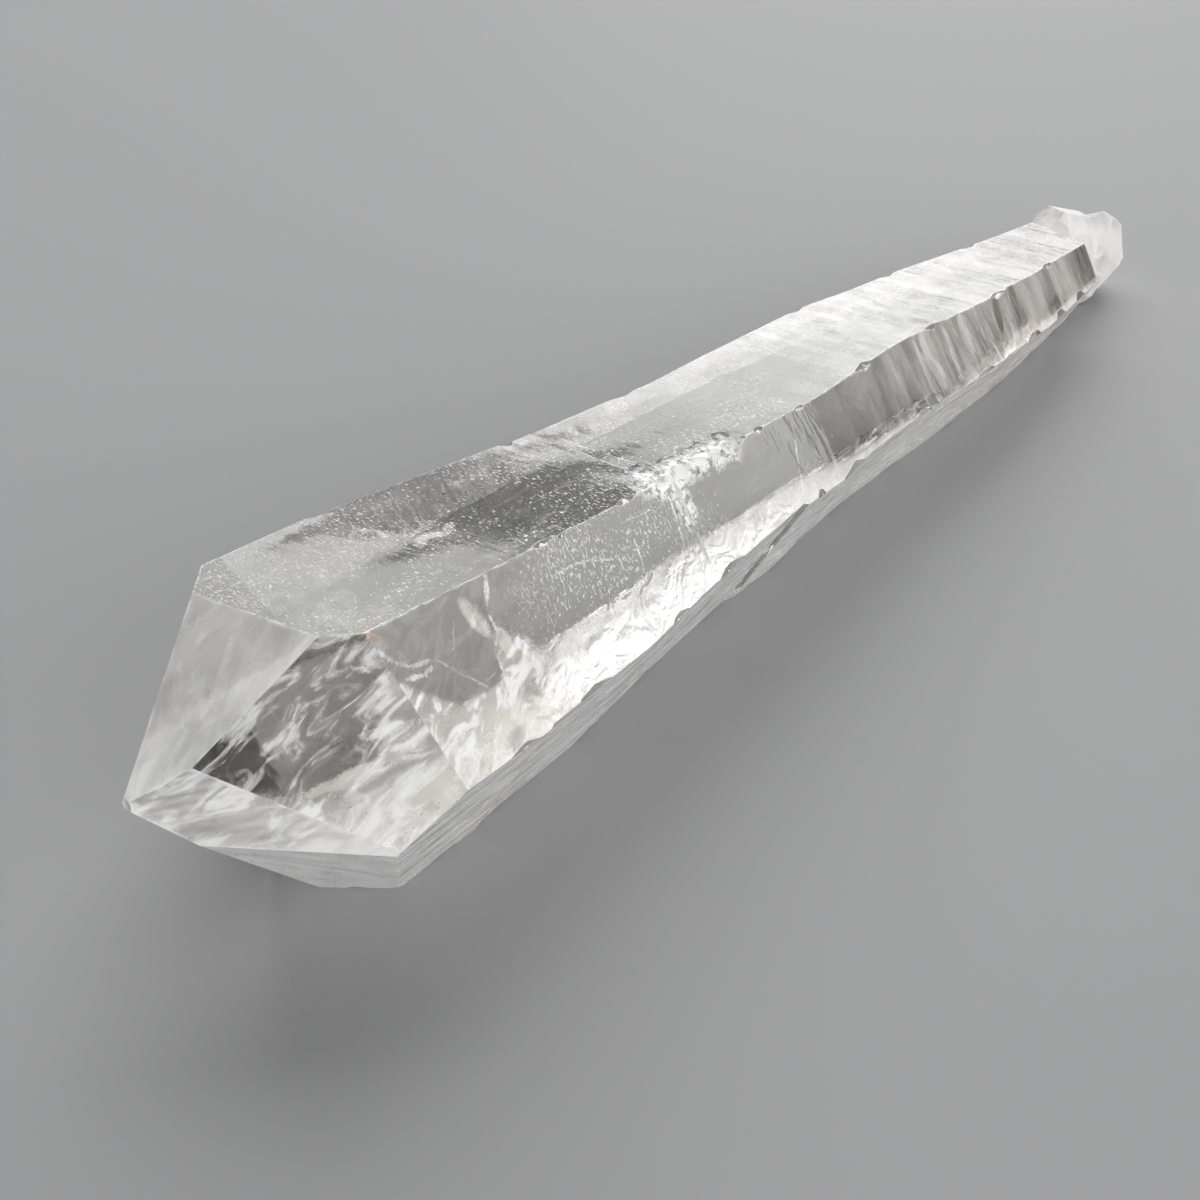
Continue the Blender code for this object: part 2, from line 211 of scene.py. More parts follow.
# The cut of the crystal's surface: the slices' width in millimetres, the angle under which pieces count as flat, and
# the angles over which an edge stays sharp.
SLICE = 0.34
WELD = 0.00001 * MM
FLAT = math.radians(0.05)
SHARP_CHIP = math.radians(32)
SHARP_CAP = math.radians(22)

# The chipped stretch of the ridge is shoved about by noise: its seeds, its reach and its lean, in millimetres.
BATTER_SEEDS = (91, 92, 93)
BATTER_REACH = (0.16, 0.10, 0.10)
BATTER_LEAN = (0.0, 0.05, -0.05)

# How far apart the growth faces are in the shader's coordinates, so that each has its own pattern.
FACE_STEP = 7.0

# The small cracks over the base: their number and seed, the ranges of their places and sizes in millimetres, and how
# solid they look. They crowd toward the large point.
SMALL_CRACKS = 34
SMALL_CRACK_SEED = 7
SMALL_CRACK_FIRST_X = 8
SMALL_CRACK_RANGE_X = 34
SMALL_CRACK_CROWDING = 1.3
SMALL_CRACK_Y = (-6.5, 5.5)
SMALL_CRACK_Z = (0.5, 3.2)
SMALL_CRACK_REACH = (0.5, 1.7)
SMALL_CRACK_SOLID = (0.45, 0.95)

# Quartz: its index, what it absorbs, and its colours where it is clear, warm, in painted shade, dark and
# iron-stained.
QUARTZ_IOR = 1.544
PASSED_COLOUR = (0.50, 0.48, 0.46, 1)
ABSORPTION = 24.0
CLEAR_COLOUR = (0.95, 0.955, 0.955, 1)
WARM_COLOUR = (0.95, 0.895, 0.82, 1)
SHADE_COLOUR = (0.62, 0.585, 0.54, 1)
DARK_COLOUR = (0.42, 0.36, 0.31, 1)
BROWN_COLOUR = (0.36, 0.19, 0.08, 1)
CRACK_COLOUR = (0.97, 0.95, 0.91, 1)
VEIL_COLOUR = (0.96, 0.955, 0.94, 1)
HAIRLINE_COLOUR = (0.97, 0.965, 0.95, 1)
SPECK_COLOURS = ((0.10, 0.035, 0.012, 1), (0.36, 0.17, 0.06, 1))

# Heights of the fine bumps, in metres.
LINE_HEIGHT = 0.0003
RIPPLE_HEIGHT = 0.00025
VEIN_HEIGHT = 0.0005
PLUME_HEIGHT = 0.0002

# The studio: a pale floor just under the crystal, a dim sky, and soft lights by name, heading and elevation in
# degrees, width and height in metres, and how bright the face looks. All stand at one distance.
FLOOR_SIZE = 4.0
FLOOR_GAP = 0.00004
FLOOR_COLOUR = (0.36, 0.36, 0.365, 1)
SKY_COLOUR = (0.94, 0.97, 1.0, 1)
SKY_STRENGTH = 0.12
LIGHT_DISTANCE = 1.1
LIGHTS = [
    ("window", 42, 46, 1.3, 0.90, 2.7),
    ("low_back", 24, 13, 0.62, 0.30, 2.4),
    ("low_fill", -60, 17, 1.1, 0.5, 2.2),
    ("front_fill", 228, 27, 1.3, 0.6, 3.0),
]


def step(value, low, high):
    """A smooth rise from 0 at low to 1 at high."""
    share = np.clip((value - low) / (high - low), 0, 1)
    return share * share * (3 - 2 * share)


def lattice(i, j, seed):
    """A fixed random number from -1 to 1 for each whole-numbered place."""
    mixed = (i * 374761393 + j * 668265263 + seed * 1442695041) & 0xFFFFFFFF
    mixed = ((mixed ^ (mixed >> 13)) * 1274126177) & 0xFFFFFFFF
    return ((mixed ^ (mixed >> 16)) & 0xFFFFFF) / 0x7FFFFF - 1


def value_noise(u, v, seed):
    """Smooth noise over two coordinates, from -1 to 1."""
    i = np.floor(u).astype(np.int64)
    j = np.floor(v).astype(np.int64)
    a = u - i
    b = v - j
    a = a * a * (3 - 2 * a)
    b = b * b * (3 - 2 * b)
    low = lattice(i, j, seed) * (1 - a) + lattice(i + 1, j, seed) * a
    high = lattice(i, j + 1, seed) * (1 - a) + lattice(i + 1, j + 1, seed) * a
    return low * (1 - b) + high * b


def crystal_mesh():
    """The solid's surface with its doubled corners welded."""
    mesh = bmesh.new()
    mesh.from_mesh(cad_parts[CRYSTAL_NODE].data)
    bmesh.ops.remove_doubles(mesh, verts=mesh.verts, dist=WELD)
    bmesh.ops.dissolve_limit(mesh, angle_limit=FLAT, verts=mesh.verts, edges=mesh.edges)
    return mesh


def face_kind(face):
    """The number of the growth face that a flat piece belongs to, or that of a chip or the cap."""
    normal = face.normal
    x = face.calc_center_median().x / MM + TABLE_SHIFT[0]
    for name, turn in PRISM_TURNS.items():
        angle = math.radians(turn)
        if normal.y * math.cos(angle) + normal.z * math.sin(angle) > SAME_FACE * math.hypot(normal.y, normal.z):
            if abs(normal.x) < 0.25 and x < CAP_START + 3:
                return FACE_NUMBER[name]
    for name, direction in POINT_NORMALS.items():
        if x < 20 and normal.dot(Vector(direction).normalized()) > SAME_FACE:
            return FACE_NUMBER[name]
    return FACE_NUMBER["cap" if x > CAP_START else "chip"]


def slice_faces(mesh, faces, direction, low, first, last):
    """Cut faces at whole slices from low along a direction, the middle one first."""
    if last - first < 2 or not faces:
        return
    middle = (first + last) // 2
    edges = {edge for face in faces for edge in face.edges}
    verts = {vert for face in faces for vert in face.verts}
    place = low + SLICE * MM * middle
    made = bmesh.ops.bisect_plane(
        mesh, geom=list(verts) + list(edges) + faces, plane_co=direction * place, plane_no=direction, dist=1e-8)
    under, over = [], []
    for item in made["geom"]:
        if isinstance(item, bmesh.types.BMFace):
            (under if item.calc_center_median().dot(direction) < place else over).append(item)
    slice_faces(mesh, under, direction, low, first, middle)
    slice_faces(mesh, over, direction, low, middle, last)


def slice_all(mesh, faces, direction):
    """Cut faces into slices from their lowest to their highest point along a direction."""
    places = [vert.co.dot(direction) for face in faces for vert in face.verts]
    low = math.floor(min(places) / (SLICE * MM)) * SLICE * MM
    slice_faces(mesh, faces, direction, low, 0, int((max(places) - low) / (SLICE * MM)) + 2)


def across(name):
    """The direction in a growth face that is square to X."""
    if name in PRISM_TURNS:
        angle = math.radians(PRISM_TURNS[name])
        return Vector((0.0, -math.sin(angle), math.cos(angle)))
    if name in POINT_NORMALS:
        normal = Vector(POINT_NORMALS[name])
        return Vector((0.0, -normal.z, normal.y)).normalized()
    return Vector((0.0, 1.0, 0.0))


def cut_crystal():
    """The crystal's mesh cut into small faces, with the number of its growth face on each."""
    mesh = crystal_mesh()
    kind = mesh.faces.layers.int.new("growth_face")
    for face in mesh.faces:
        face[kind] = face_kind(face)
    slice_all(mesh, mesh.faces[:], Vector((1, 0, 0)))
    for name in FACE_NAMES:
        if name == "chip":
            continue
        own = [face for face in mesh.faces if face[kind] == FACE_NUMBER[name]]
        if own:
            slice_all(mesh, own, across(name))
            if name == "cap":
                slice_all(mesh, [face for face in mesh.faces if face[kind] == FACE_NUMBER[name]], Vector((0, 0, 1)))
    for edge in mesh.edges:
        if len(edge.link_faces) != 2:
            continue
        one, two = (face[kind] for face in edge.link_faces)
        limit = SHARP_CAP if one == FACE_NUMBER["cap"] else SHARP_CHIP
        edge.smooth = one == two and edge.calc_face_angle(0.0) < limit
    for face in mesh.faces:
        face.smooth = True
    return mesh


def relief(kind, x, v):
    """Height of the growth relief in millimetres over one growth face."""
    far = step(x, 48, 66)
    if kind == "top":
        waves = 0.045 * value_noise(x * 0.62 + v * 0.35, v * 0.34, 3) + 0.02 * value_noise(x * 1.4, v * 0.7 + 4, 4)
        return 0.012 * value_noise(x * 0.2, v * 0.5, 1) + far * waves
    if kind == "front_upper":
        marks = 0.05 * value_noise(x * 0.75 + v * 0.12, v * 0.12, 7) + 0.02 * value_noise(x * 1.7, v * 0.4, 8)
        return 0.010 * value_noise(x * 0.3, v * 0.3, 6) + far * marks
    if kind in ("front_lower", "over_front_lower"):
        return 0.07 * value_noise(x * 0.10, v * 1.1, 11) + 0.03 * value_noise(x * 0.35, v * 2.3, 12)
    if kind in ("back_lower", "back_upper"):
        marks = 0.05 * value_noise(x * 0.55 + v * 0.2, v * 0.16, 15) + 0.02 * value_noise(x * 1.5, v * 0.5, 16)
        return 0.02 * value_noise(x * 0.15, v * 0.6, 14) + (0.25 + 0.75 * far) * marks
    if kind in ("over_front_upper", "over_back_upper", "over_back_lower"):
        return 0.02 * value_noise(x * 0.45 + v * 0.3, v * 0.45, 21) + 0.008 * value_noise(x * 1.3, v * 1.2, 22)
    if kind == "cap":
        return 0.07 * value_noise(x * 1.1, v * 1.1, 31) + 0.05 * value_noise(x * 2.3 + 5, v * 2.3, 32)
    return np.zeros(len(x))


def batter(places, distance):
    """How strongly each place lies in the chipped stretch of the ridge, from 0 to 1."""
    along = step(places[:, 0], 26.0, 28.5) * (1 - step(places[:, 0], 36.0, 39.5))
    near_ridge = step(places[:, 2], 13.8, 14.8) * step(-places[:, 1], 3.0, 4.0)
    return along * near_ridge * (1 - step(distance, 0.2, 1.1))


def build_crystal():
    """The crystal's visible surface, with its growth coordinates and finish kept on its corners."""
    mesh = cut_crystal()
    bmesh.ops.triangulate(mesh, faces=[face for face in mesh.faces if len(face.verts) > 4])
    mesh.verts.index_update()
    mesh.normal_update()
    kind = mesh.faces.layers.int["growth_face"]
    hard = [vert for vert in mesh.verts if any(not edge.smooth for edge in vert.link_edges)]
    tree = KDTree(len(hard))
    for number, vert in enumerate(hard):
        tree.insert(vert.co, number)
    tree.balance()
    places = np.array([vert.co for vert in mesh.verts]) / MM + TABLE_SHIFT
    normals = np.array([vert.normal for vert in mesh.verts])
    distance = np.array([tree.find(vert.co)[2] for vert in mesh.verts]) / MM
    kinds = np.array([vert.link_faces[0][kind] for vert in mesh.verts])
    height = np.zeros(len(places))
    for name, number in FACE_NUMBER.items():
        own = kinds == number
        if name != "base" and own.any():
            direction = np.array(across(name))
            extra = places[own, 2] * 0.8 if name == "cap" else 0
            height[own] = relief(name, places[own, 0] + extra, places[own] @ direction)
    height *= step(distance, 0.0, 0.9)
    battered = batter(places, distance)
    shove = [value_noise(places[:, 0] * 1.3, places[:, 1] * 1.5 + places[:, 2], seed) for seed in BATTER_SEEDS]
    shove = np.stack(shove, 1) * BATTER_REACH + BATTER_LEAN
    places = places + normals * height[:, None] + shove * battered[:, None] - TABLE_SHIFT
    places = np.clip(places * MM, crystal_low, crystal_high)
    for vert, place in zip(mesh.verts, places):
        vert.co = place
    data = bpy.data.meshes.new("crystal")
    mesh.to_mesh(data)
    mesh.free()
    crystal = bpy.data.objects.new("crystal", data)
    bpy.context.scene.collection.objects.link(crystal)
    # Worn edges, partly a painted highlight: 1 on the hard edges, falling to 0 at 0.3 mm from them.
    near_edge_wear_highlight = 1 - step(distance, 0.0, 0.30)
    data.attributes.new("near_edge_wear_highlight", "FLOAT", "POINT").data.foreach_set("value", near_edge_wear_highlight)
    data.attributes.new("battered", "FLOAT", "POINT").data.foreach_set("value", battered)
    return crystal


def add_growth_place(data):
    """Keep x, the distance across the growth face and the face's number, in millimetres, on every corner."""
    corner_vertex = np.empty(len(data.loops), np.int32)
    data.loops.foreach_get("vertex_index", corner_vertex)
    places = np.empty(len(data.vertices) * 3)
    data.vertices.foreach_get("co", places)
    places = places.reshape(-1, 3) / MM + TABLE_SHIFT
    sizes = np.empty(len(data.polygons), np.int32)
    data.polygons.foreach_get("loop_total", sizes)
    kinds = np.empty(len(data.polygons), np.int32)
    data.attributes["growth_face"].data.foreach_get("value", kinds)
    corner_kind = np.repeat(kinds, sizes)
    directions = np.array([across(name) for name in FACE_NAMES])
    place = places[corner_vertex]
    side = np.einsum("ij,ij->i", place, directions[corner_kind])
    growth = data.attributes.new("growth_place", "FLOAT_VECTOR", "CORNER")
    growth.data.foreach_set("vector", np.stack([place[:, 0], side, corner_kind * FACE_STEP], 1).ravel())
    return place, side, corner_kind


def distance_to(places, name):
    """How far places are under the plane of one of the large point's faces, in millimetres."""
    normal = np.array(POINT_NORMALS[name])
    return (POINT_PLACES[name] - places) @ (normal / np.linalg.norm(normal))


def add_finish(data):
    """Keep the frost, the milkiness, painted light and shade, and the strengths of the fine marks on every corner."""
    place, side, kinds = add_growth_place(data)
    x = place[:, 0]
    own = {name: kinds == number for name, number in FACE_NUMBER.items()}

    def put(values, names, new):
        """Set values on the corners of one or more growth faces."""
        on = np.any([own[name] for name in names.split()], axis=0)
        values[on] = np.broadcast_to(new, x.shape)[on]

    def milky_and_bright_band(name):
        """1 in the milky zone of a face, partly a painted bright band, and 0 outside it."""
        rows = np.array(MILKY_AND_BRIGHT_BAND_FROM[name])
        return step(side - np.interp(x, rows[:, 0], rows[:, 1]), -0.15, 0.35)

    frost, milk_and_painted_light = np.full((2, len(x)), 0.02)
    strokes, thin, streaks, veins, wisps, bands, shade = np.zeros((7, len(x)))
    far = step(x, 50, 95)
    near_end = 1 - step(x, 4, 30)

    # The large point's upper face and the top face.
    over_edge = distance_to(place, "over_front_upper")
    wide = 0.4 + 2.6 * step(x, 0.5, -8.0)
    put(milk_and_painted_light, "over_top", 0.66 + 0.28 * (1 - step(over_edge / wide, 0.75, 1.05)))
    put(frost, "over_top", 0.40)
    corner_haze = np.exp(-((x - 3.2) / 2.4) ** 2 - ((place[:, 1] + 3.0) / 2.6) ** 2)
    put(milk_and_painted_light, "top", 0.08 + 0.30 * corner_haze + 0.26 * step(x, 30, 70))
    put(frost, "top", 0.06 + 0.12 * far + 0.15 * corner_haze)
    near_ridge = step(x, 9, 18) * step(side, -1.0, 3.0) * (1 - step(x, 40, 60))
    put(strokes, "top", 0.85 - 0.65 * step(x, 34, 56))
    put(thin, "top", 0.022 - 0.02 * near_ridge)
    put(bands, "top", 0.75 * step(x, 28, 80))

    # The two faces toward the camera, with their milky zones, partly a painted bright band of reflected light.
    put(strokes, "front_upper", step(x, 9, 19) * (1 - 0.75 * step(x, 27, 36)) * (1 - 0.8 * step(x, 50, 60)))
    milky_and_bright_zone = milky_and_bright_band("front_upper")
    # How thick the milk is along the crystal; past x = 38 it mostly paints the bright band of reflected light.
    milk_and_band_light = np.interp(x, [4, 10, 14, 20, 28, 38, 60, 90], [0.80, 0.68, 0.50, 0.34, 0.36, 0.60, 0.72, 0.66])
    put(milk_and_painted_light, "front_upper", 0.02 + 0.13 * far + milk_and_band_light * milky_and_bright_zone)
    put(frost, "front_upper", 0.03 + 0.12 * far + 0.25 * milk_and_band_light * milky_and_bright_zone)
    put(wisps, "front_upper", 0.9 * milky_and_bright_zone * (1 - step(x, 9, 15)))
    put(veins, "front_upper", milky_and_bright_zone * step(x, 9, 13) * (1 - step(x, 36, 46)))
    put(bands, "front_upper", step(x, 46, 64))
    milky_and_bright_zone = milky_and_bright_band("over_front_upper")
    put(milk_and_painted_light, "over_front_upper", 0.24 + 0.46 * milky_and_bright_zone)
    put(frost, "over_front_upper", 0.10 + 0.25 * milky_and_bright_zone)
    put(wisps, "over_front_upper", 1 - 0.2 * milky_and_bright_zone)
    # Painted shade: the colour turns darker between the wisps on these faces near the large point.
    put(shade, "over_front_upper front_upper", 1 - step(x, 10, 20))
    put(shade, "over_top over_front_lower_rim", 0.35)

    # The bright band low at the front: near-white milk on the lower prism face, a painted highlight for its glints.
    put(frost, "front_lower", 0.20)
    put(milk_and_painted_light, "front_lower", 0.92)
    put(streaks, "front_lower", 1.0)
    put(frost, "over_front_lower over_front_lower_rim", 0.40)
    put(streaks, "over_front_lower over_front_lower_rim", 0.16)
    rim_edge = distance_to(place, "over_front_lower")
    put(milk_and_painted_light, "over_front_lower_rim", 0.74 + 0.26 * (1 - step(rim_edge, 0.1, 0.7)))
    put(wisps, "over_front_lower_rim", 0.55)
    put(milk_and_painted_light, "over_front_lower", 0.95)

    # The back, the base, the chips and the cap.
    put(frost, "back_lower back_upper over_back_lower over_back_upper over_base", 0.05)
    put(milk_and_painted_light, "back_lower back_upper", 0.05)
    put(milk_and_painted_light, "over_base over_back_lower over_back_upper", 0.05 + 0.65 * (1 - step(x, -9.4, -7.0)))
    put(frost, "base", 0.04 + 0.04 * near_end)
    put(milk_and_painted_light, "base", 0.05 + 0.10 * near_end)
    put(streaks, "base", 0.3)
    battered = batter(place, np.zeros(len(x)))
    put(frost, "chip", 0.06 + 0.30 * battered)
    put(milk_and_painted_light, "chip", 0.10 + 0.50 * battered + 0.60 * (1 - step(x, -9.2, -8.0)))
    put(frost, "cap", 0.5)
    put(milk_and_painted_light, "cap", 0.97)

    # Ripples, warmth and worn edges all over; the worn edges' white line is also a painted highlight.
    ripple = np.full(len(x), 0.22)
    put(ripple, "over_top over_front_lower over_front_lower_rim", 0.05)
    put(ripple, "front_upper", 0.08 + 0.35 * far)
    put(ripple, "top", 0.02 + 0.06 * step(x, 30, 50) + 0.25 * far)
    put(ripple, "cap", 0.8)
    warm = 0.20 + 0.35 * np.exp(-((x - 12) / 3) ** 2) + 0.35 * far
    put(warm, "cap", 0.45)
    put(warm, "front_upper", warm + 0.5 * step(x, 44, 62))
    # How strongly the worn edge line shows, also a painted highlight.
    worn_edge_highlight = np.full(len(x), 0.55)
    worn_edge_highlight[np.abs(x - 29.5) < 2.2] = 0.12
    put(worn_edge_highlight, "chip over_front_upper", 0.12)
    worn_edge_highlight[own["front_upper"] & (x < 9)] = 0.12
    worn_edge_highlight[own["front_upper"] & (side < -13.2)] = 0.6
    finish = dict(frost=frost, milk_and_painted_light=milk_and_painted_light, strokes=strokes, streaks=streaks, ripple=ripple, veins=veins, wisps=wisps,
                  bands=bands, warm=warm, worn_edge_highlight=worn_edge_highlight, shade=shade, thin=thin)
    for name, values in finish.items():
        data.attributes.new(name, "FLOAT", "CORNER").data.foreach_set("value", values)


def surface_tree(data):
    """A search tree over the crystal's surface, in metres."""
    corners = [vert.co.copy() for vert in data.vertices]
    return BVHTree.FromPolygons(corners, [tuple(face.vertices) for face in data.polygons])


def kept_inside(points, tree, depth):
    """Move points that are nearer to the surface than depth in under it. Points and depth are in millimetres."""
    for number, point in enumerate(points):
        spot, normal, _, _ = tree.find_nearest(Vector(point - TABLE_SHIFT) * MM)
        gap = (Vector(point - TABLE_SHIFT) * MM - spot).dot(normal) / MM
        if gap > -depth:
            points[number] = np.array(spot + normal * (-depth * MM)) / MM + TABLE_SHIFT
    return points


class Sheets:
    """Gathers thin sheets inside the crystal into one piece."""

    def __init__(self):
        self.points = []
        self.faces = []
        self.edge = []
        self.place = []

    def add_round(self, at, rim, tree, seed, depth=0.04, rings=10, spokes=56):
        """A sheet over the unit square of a surface function, with an uneven round rim."""
        turns = np.arange(spokes) / spokes * 2 * math.pi
        reach = 0.5 * np.minimum(1 / np.maximum(np.abs(np.cos(turns)), np.abs(np.sin(turns))), 1.18)
        uneven = value_noise(2.2 * np.cos(turns) + 9, 2.2 * np.sin(turns) + 9, seed)
        uneven = uneven + 0.4 * value_noise(6 * np.cos(turns) + 9, 6 * np.sin(turns) + 9, seed + 1)
        reach = reach * (1 - rim * (0.5 + 0.5 * uneven))
        radii = np.linspace(0, 1, rings + 1)[1:]
        s = np.concatenate([[0.5], (0.5 + radii[:, None] * reach * np.cos(turns)).ravel()])
        t = np.concatenate([[0.5], (0.5 + radii[:, None] * reach * np.sin(turns)).ravel()])
        first = len(self.points)
        self.points.extend(kept_inside(at(s, t), tree, depth))
        self.edge.extend([0.0] + [radius for radius in radii for _ in turns])
        self.place.extend(np.stack([s, t, np.full(len(s), seed * 3.1)], 1))
        for k in range(spokes):
            after = (k + 1) % spokes
            self.faces.append((first, first + 1 + k, first + 1 + after))
            for ring in range(rings - 1):
                low = first + 1 + ring * spokes
                self.faces.append((low + k, low + spokes + k, low + spokes + after, low + after))

    def build(self, name, material, **values):
        data = bpy.data.meshes.new(name)
        points = (np.array(self.points) - TABLE_SHIFT) * MM
        data.from_pydata([tuple(point) for point in points], [], self.faces)
        data.attributes.new("edge", "FLOAT", "POINT").data.foreach_set("value", np.array(self.edge, float))
        place = np.array(self.place, float)
        data.attributes.new("sheet_place", "FLOAT_VECTOR", "POINT").data.foreach_set("vector", place.ravel())
        for label, numbers in values.items():
            data.attributes.new(label, "FLOAT", "POINT").data.foreach_set("value", np.array(numbers, float))
        data.polygons.foreach_set("use_smooth", [True] * len(data.polygons))
        data.materials.append(material)
        piece = bpy.data.objects.new(name, data)
        bpy.context.scene.collection.objects.link(piece)
        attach(piece, "root")


def patch(rows, ripple, seed):
    """A curved surface through nine points, with conchoidal ripples."""
    grid = np.array(rows, float)
    sag = 2 * grid[1] - (grid[0] + grid[2]) / 2
    down = np.array([grid[0], sag, grid[2]])
    net = np.array([down[:, 0], 2 * down[:, 1] - (down[:, 0] + down[:, 2]) / 2, down[:, 2]])
    along = net[2].mean(0) - net[0].mean(0)
    beside = net[:, 2].mean(0) - net[:, 0].mean(0)
    normal = np.cross(along, beside)
    normal /= np.linalg.norm(normal)

    def at(s, t):
        weights_s = np.stack([(1 - s) ** 2, 2 * s * (1 - s), s ** 2], 1)
        weights_t = np.stack([(1 - t) ** 2, 2 * t * (1 - t), t ** 2], 1)
        points = np.einsum("ki,kj,ijc->kc", weights_s, weights_t, net)
        arcs = np.sin(16 * np.hypot(s + 0.2, t - 0.4) + 2 * value_noise(3 * s, 3 * t, seed))
        waves = 0.35 * arcs + value_noise(2.5 * s, 2.5 * t, seed + 1) + 0.4 * value_noise(7 * s, 7 * t, seed + 2)
        return points + normal * (ripple * waves)[:, None]

    return at


def veil(face, middle, halves, seed):
    """A gently folded surface that lies along a growth face."""
    if face in PRISM_TURNS:
        turn = math.radians(PRISM_TURNS[face])
        normal = np.array([0.0, math.cos(turn), math.sin(turn)])
    else:
        normal = np.array(POINT_NORMALS[face])
        normal /= np.linalg.norm(normal)
    beside = np.array(across(face))
    along = np.cross(beside, normal)
    centre = np.array(middle)

    def at(s, t):
        u = (s - 0.5) * 2 * halves[0]
        v = (t - 0.5) * 2 * halves[1]
        fold = 0.9 * value_noise(u * 0.22, v * 0.30, seed) + 0.35 * value_noise(u * 0.7, v * 0.8, seed + 1)
        return centre + along * u[:, None] + beside * v[:, None] + normal * fold[:, None]

    return at


def small_crack(centre, along, normal, reach, seed):
    """A small bent fracture, longer than it is wide."""
    beside = np.cross(normal, along)

    def at(s, t):
        u = (s - 0.5) * 2 * reach
        v = (t - 0.5) * 1.1 * reach
        bend = 0.25 * u * u / reach + 0.10 * value_noise(u * 1.5, v * 1.5, seed)
        return centre + np.outer(u, along) + np.outer(v, beside) + np.outer(bend, normal)

    return at


def add_cracks(tree):
    """The larger fractures, and small ones scattered over the face that the crystal rests on."""
    sheets = Sheets()
    solid = []
    for name, (row_a, row_b, row_c, ripple, density, seed) in CRACKS.items():
        uneven = 0.6 if name.startswith("cross") else 0.2
        sheets.add_round(patch((row_a, row_b, row_c), ripple, seed), uneven, tree, seed)
        solid += [density] * (len(sheets.points) - len(solid))
    random = np.random.default_rng(SMALL_CRACK_SEED)
    for number in range(SMALL_CRACKS):
        x = SMALL_CRACK_FIRST_X + SMALL_CRACK_RANGE_X * random.random() ** SMALL_CRACK_CROWDING
        centre = np.array([x, random.uniform(*SMALL_CRACK_Y), random.uniform(*SMALL_CRACK_Z)])
        along = random.normal(size=3) * (1.0, 0.6, 0.5)
        along /= np.linalg.norm(along)
        normal = np.cross(along, random.normal(size=3))
        normal /= np.linalg.norm(normal)
        seed = 400 + number
        at = small_crack(centre, along, normal, random.uniform(*SMALL_CRACK_REACH), seed)
        sheets.add_round(at, 0.5, tree, seed, rings=5, spokes=28)
        solid += [random.uniform(*SMALL_CRACK_SOLID)] * (len(sheets.points) - len(solid))
    sheets.build("inner_cracks", crack_look(), solid=solid)


def add_veils(tree):
    """The milky veils and cloudy patches."""
    sheets = Sheets()
    solid = []
    for face, middle, halves, density, seed in VEILS:
        sheets.add_round(veil(face, middle, halves, seed), 0.35, tree, seed, depth=0.15, rings=16, spokes=72)
        solid += [density] * (len(sheets.points) - len(solid))
    sheets.place = sheets.points
    sheets.build("inner_veils", veil_look(), solid=solid)


def add_hairlines(tree):
    """Hairline cracks as very narrow bands just under the surface."""
    sheets = Sheets()
    for points, width in HAIRLINES:
        points = np.array(points, float)
        stations = np.linspace(0, len(points) - 1, 12 * (len(points) - 1) + 1)
        line = np.stack([np.interp(stations, range(len(points)), points[:, axis]) for axis in range(3)], 1)
        for axis, reach in ((0, 0.16), (2, 0.07)):
            line[:, axis] += value_noise(stations * 3.1, stations * 0 + width * 90, 5 + axis) * reach
        along = np.gradient(line, axis=0)
        outward = np.array([0.0, -0.5, 0.8]) if abs(line[0, 2] - line[-1, 2]) > 0.3 else np.array([0.0, 0.0, 1.0])
        side = np.cross(along, outward)
        side /= np.linalg.norm(side, axis=1)[:, None]
        side *= (1 + 0.8 * value_noise(stations * 4.3, stations * 0 + 3, 8))[:, None]
        taper = np.sin(np.pi * (0.06 + 0.88 * np.arange(len(line)) / (len(line) - 1))) ** 0.5
        first = len(sheets.points)
        rims = [line - side * (width / 2 * taper)[:, None], line + side * (width / 2 * taper)[:, None]]
        sheets.points.extend(kept_inside(np.concatenate(rims), tree, 0.03))
        count = len(line)
        sheets.edge.extend([0.0] * (2 * count))
        sheets.place.extend(np.concatenate([line, line]))
        sheets.faces.extend((first + k, first + k + 1, first + count + k + 1, first + count + k)
                            for k in range(count - 1))
    sheets.build("hairline_cracks", hairline_look())


def add_speck():
    """The iron-stained speck under the large point's shoulder."""
    mesh = bmesh.new()
    bmesh.ops.create_icosphere(mesh, subdivisions=3, radius=1.0)
    for vert in mesh.verts:
        bump = 1 + 0.25 * math.sin(5 * vert.co.x + 2) * math.cos(4 * vert.co.y) + 0.12 * math.sin(9 * vert.co.z)
        vert.co = Vector((vert.co.x * 0.26, vert.co.y * 0.14, vert.co.z * 0.17)) * bump * MM
        vert.co += Vector(np.array(IRON_SPECK) - TABLE_SHIFT) * MM
    for face in mesh.faces:
        face.smooth = True
    data = bpy.data.meshes.new("iron_speck")
    mesh.to_mesh(data)
    mesh.free()
    data.materials.append(speck_look())
    speck = bpy.data.objects.new("iron_speck", data)
    bpy.context.scene.collection.objects.link(speck)
    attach(speck, "root")


